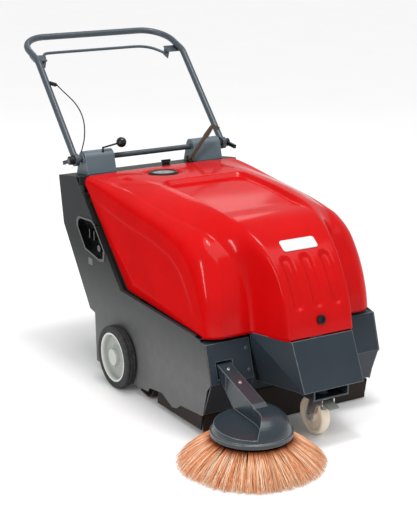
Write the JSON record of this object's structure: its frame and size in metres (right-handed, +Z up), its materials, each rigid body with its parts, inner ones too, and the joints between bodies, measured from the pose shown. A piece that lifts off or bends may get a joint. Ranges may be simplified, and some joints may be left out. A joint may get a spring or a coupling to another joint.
{
  "type": "power brush sweeper",
  "caption": "Walk-behind floor sweeper: moulded hood over a folded sheet-steel body, tubular push handle with drive bail, rear wheels, swivel caster, side brush and main roller.",
  "frame": {"origin": "point on the floor midway between the rear wheels, below the rear axle", "axes": "+Z up, -Y forward in the direction of sweeping, +Y towards the operator at the handle, -X to the operator's right"},
  "size_m": [0.8207, 1.7004, 1.0134],
  "materials": {
    "hood_red": "glossy moulded plastic",
    "panel_grey": "grey stove enamel",
    "front_grey": "dark blue-grey stove enamel",
    "handle_grey": "blue-grey powder coat",
    "steel": "bright zinc plate",
    "black_plastic": "black plastic",
    "tray_black": "black gloss plastic",
    "badge": "pale plate",
    "rubber_tyre": "grey-black rubber",
    "rim_grey": "light grey plastic",
    "skirt_rubber": "black rubber sheet",
    "nylon": "cream nylon",
    "cover_grey": "grey-blue plastic",
    "bristle_tan": "tan bristles",
    "lens": "clear window",
    "bin_grey": "grey plastic",
    "battery": "black case",
    "paper": "pleated filter paper",
    "cast": "cast aluminium",
    "pedal": "grey-green plastic"
  },
  "bodies": {
    "chassis": {"right_side_panel": "panel_grey", "left_side_panel": "panel_grey", "rear_deck": "panel_grey", "nose_panel": "front_grey", "right_front_plate": "front_grey", "left_front_plate": "front_grey", "right_pedestal": "front_grey", "left_pedestal": "front_grey", "pivot_tube": "handle_grey", "recess_tray": "tray_black", "brush_housing": "front_grey", "front_flap": "skirt_rubber", "rear_flap": "skirt_rubber", "side_skirts": "skirt_rubber", "equipment_shelf": "front_grey", "batteries": "battery", "drive_motor": "cast", "drive_belt": "skirt_rubber", "filter_element": "paper", "fan_housing": "black_plastic", "rear_axle": "steel", "axle_bearings": "steel", "caster_arm": "front_grey", "hinge_leaves": "steel", "chassis_screws": "steel", "switch_base": "black_plastic"},
    "hood": {"hood_shell": "hood_red", "gauge_bezel": "black_plastic", "gauge_lens": "lens", "badge_plate": "badge", "hood_hinge_arms": "steel"},
    "hood_lock": {"hood_lock": "steel"},
    "right_wheel": {"right_tyre": "rubber_tyre", "right_rim": "rim_grey"},
    "left_wheel": {"left_tyre": "rubber_tyre", "left_rim": "rim_grey"},
    "caster_swivel": {"caster_fork": "steel"},
    "caster_roll": {"caster_wheel": "nylon"},
    "caster_pedal": {"caster_brake": "pedal"},
    "brush_arm": {"brush_cover": "cover_grey", "cover_screws": "steel", "brush_gearmotor": "cast"},
    "side_brush": {"brush_disc": "black_plastic", "side_bristles": "bristle_tan"},
    "main_roller": {"roller_core": "black_plastic", "roller_bristles": "bristle_tan"},
    "motor_rotor": {"motor_pulley": "black_plastic"},
    "fan": {"fan_rotor": "black_plastic"},
    "handle": {"handle_tube": "handle_grey", "bail_brackets": "handle_grey", "cable_stop": "black_plastic", "clutch_cable": "black_plastic"},
    "drive_bail": {"bail": "handle_grey"},
    "right_clamp": {"right_clamp": "black_plastic"},
    "left_clamp": {"left_clamp": "black_plastic"},
    "ball_lever": {"ball_lever_rod": "steel", "ball_knob": "black_plastic"},
    "flap_lever": {"flap_lever": "steel"},
    "switch": {"switch_key": "black_plastic"},
    "dirt_bin": {"hopper_bin": "bin_grey"}
  },
  "joints": [
    {"name": "hood_lift", "type": "hinge", "parent": "chassis", "child": "hood", "pos_m": [0, 0.276, 0.612], "axis": [-1, 0, 0], "range_deg": [0, 55]},
    {"name": "hood_lock_turn", "type": "hinge", "parent": "hood", "child": "hood_lock", "pos_m": [0, -0.63727, 0.34942], "axis": [0, -0.9747, 0.2235], "range_deg": [0, 90]},
    {"name": "right_wheel_roll", "type": "hinge", "parent": "chassis", "child": "right_wheel", "pos_m": [-0.32, 0, 0.1], "axis": [1, 0, 0], "continuous": true},
    {"name": "left_wheel_roll", "type": "hinge", "parent": "chassis", "child": "left_wheel", "pos_m": [0.32, 0, 0.1], "axis": [1, 0, 0], "continuous": true},
    {"name": "caster_turn", "type": "hinge", "parent": "chassis", "child": "caster_swivel", "pos_m": [0, -0.649, 0.14], "axis": [0, 0, 1], "continuous": true},
    {"name": "caster_wheel_roll", "type": "hinge", "parent": "caster_swivel", "child": "caster_roll", "pos_m": [0, -0.619, 0.058], "axis": [1, 0, 0], "continuous": true},
    {"name": "caster_brake_press", "type": "hinge", "parent": "caster_swivel", "child": "caster_pedal", "pos_m": [0, -0.675, 0.112], "axis": [1, 0, 0], "range_deg": [0, 12], "stiffness_Nm_per_rad": 2},
    {"name": "brush_arm_lift", "type": "hinge", "parent": "chassis", "child": "brush_arm", "pos_m": [-0.243, -0.498, 0.212], "axis": [-1, 0, 0], "range_deg": [0, 10]},
    {"name": "side_brush_spin", "type": "hinge", "parent": "brush_arm", "child": "side_brush", "pos_m": [-0.271, -0.704, 0.06], "axis": [0, 0, 1], "continuous": true},
    {"name": "main_roller_spin", "type": "hinge", "parent": "chassis", "child": "main_roller", "pos_m": [0, -0.325, 0.136], "axis": [1, 0, 0], "continuous": true},
    {"name": "motor_spin", "type": "hinge", "parent": "chassis", "child": "motor_rotor", "pos_m": [0.27, 0.02, 0.35], "axis": [1, 0, 0], "continuous": true},
    {"name": "fan_spin", "type": "hinge", "parent": "chassis", "child": "fan", "pos_m": [-0.15, 0.02, 0.3], "axis": [0, 0, 1], "continuous": true},
    {"name": "handle_tilt", "type": "hinge", "parent": "chassis", "child": "handle", "pos_m": [0, 0.348, 0.658], "axis": [1, 0, 0], "range_deg": [-25, 30]},
    {"name": "bail_squeeze", "type": "hinge", "parent": "handle", "child": "drive_bail", "pos_m": [0, 0.66368, 0.93263], "axis": [1, 0, 0], "range_deg": [0, 20], "stiffness_Nm_per_rad": 4, "springref_deg": -11.46},
    {"name": "right_clamp_turn", "type": "hinge", "parent": "chassis", "child": "right_clamp", "pos_m": [-0.293, 0.348, 0.658], "axis": [1, 0, 0], "range_deg": [-35, 60]},
    {"name": "left_clamp_turn", "type": "hinge", "parent": "chassis", "child": "left_clamp", "pos_m": [0.293, 0.348, 0.658], "axis": [1, 0, 0], "range_deg": [-60, 30]},
    {"name": "ball_lever_turn", "type": "hinge", "parent": "chassis", "child": "ball_lever", "pos_m": [-0.187, 0.332, 0.68], "axis": [0, 0, 1], "range_deg": [-40, 40]},
    {"name": "flap_lever_turn", "type": "hinge", "parent": "chassis", "child": "flap_lever", "pos_m": [0.122, 0.297, 0.628], "axis": [0, -1, 0], "range_deg": [0, 60]},
    {"name": "switch_turn", "type": "hinge", "parent": "chassis", "child": "switch", "pos_m": [0.036, 0.312, 0.63], "axis": [0, 0, 1], "range_deg": [0, 90]},
    {"name": "bin_slide", "type": "slide", "parent": "chassis", "child": "dirt_bin", "axis": [0, 1, 0], "range_m": [0, 0.4]}
  ],
  "couplings": [
    {"joint": "motor_spin", "follows": "main_roller_spin", "ratio": 1.3125}
  ]
}
